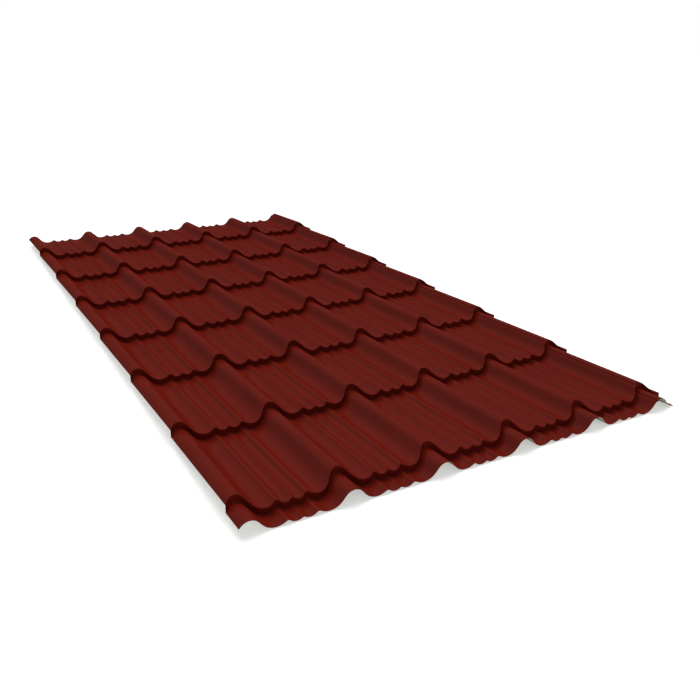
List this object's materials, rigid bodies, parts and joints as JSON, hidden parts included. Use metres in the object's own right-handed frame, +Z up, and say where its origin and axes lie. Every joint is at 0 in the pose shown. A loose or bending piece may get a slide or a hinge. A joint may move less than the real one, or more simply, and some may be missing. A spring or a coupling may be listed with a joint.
{
  "type": "roofing sheet",
  "caption": "Red coated steel roofing sheet with rounded tile waves, small ribs in each pan and pressed cross steps, cut square at both ends.",
  "frame": {"origin": "centre of the sheet's bounding box, on the floor plane that the feet of the steps touch", "axes": "+X across the waves towards the underlap edge, +Y up the roof slope from the eaves end to the ridge end, +Z up out of the weather face"},
  "size_m": [1.227, 2.45, 0.049],
  "materials": {
    "coated_steel": "satin"
  },
  "bodies": {
    "root": {"roofing_sheet": "coated_steel"}
  },
  "joints": []
}
